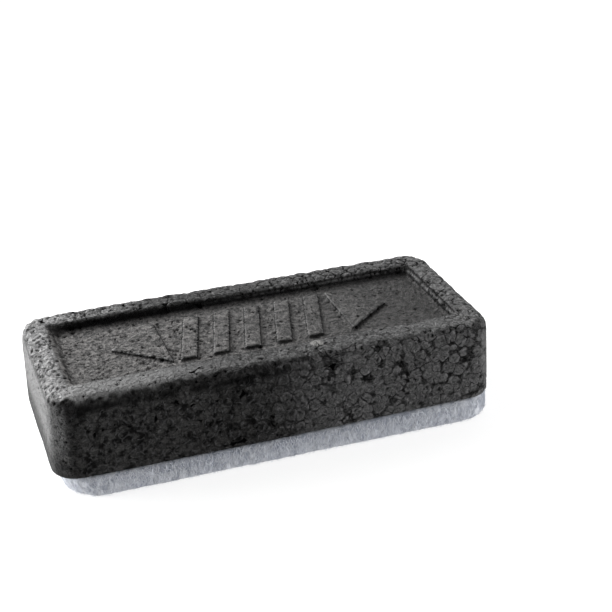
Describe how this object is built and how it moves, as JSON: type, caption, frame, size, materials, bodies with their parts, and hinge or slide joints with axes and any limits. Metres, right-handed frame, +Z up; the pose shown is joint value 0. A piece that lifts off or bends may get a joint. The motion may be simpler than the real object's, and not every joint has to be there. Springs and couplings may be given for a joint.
{
  "type": "whiteboard eraser",
  "caption": "Block eraser: charcoal bead-foam block with a raised rim and recessed top panel, over a pale felt wiping pad.",
  "frame": {"origin": "centre of the block's footprint, on the pad's wiping face", "axes": "+X along the block's length, +Y across its width, +Z up from the wiping face to the raised rim"},
  "size_m": [0.13, 0.058, 0.0311],
  "materials": {
    "bead_foam": "moulded charcoal bead foam",
    "hot_melt_glue": "translucent cream",
    "felt": "needle-punched felt"
  },
  "bodies": {
    "root": {"foam_block": "bead_foam", "adhesive_film": "hot_melt_glue", "felt_pad": "felt"}
  },
  "joints": []
}
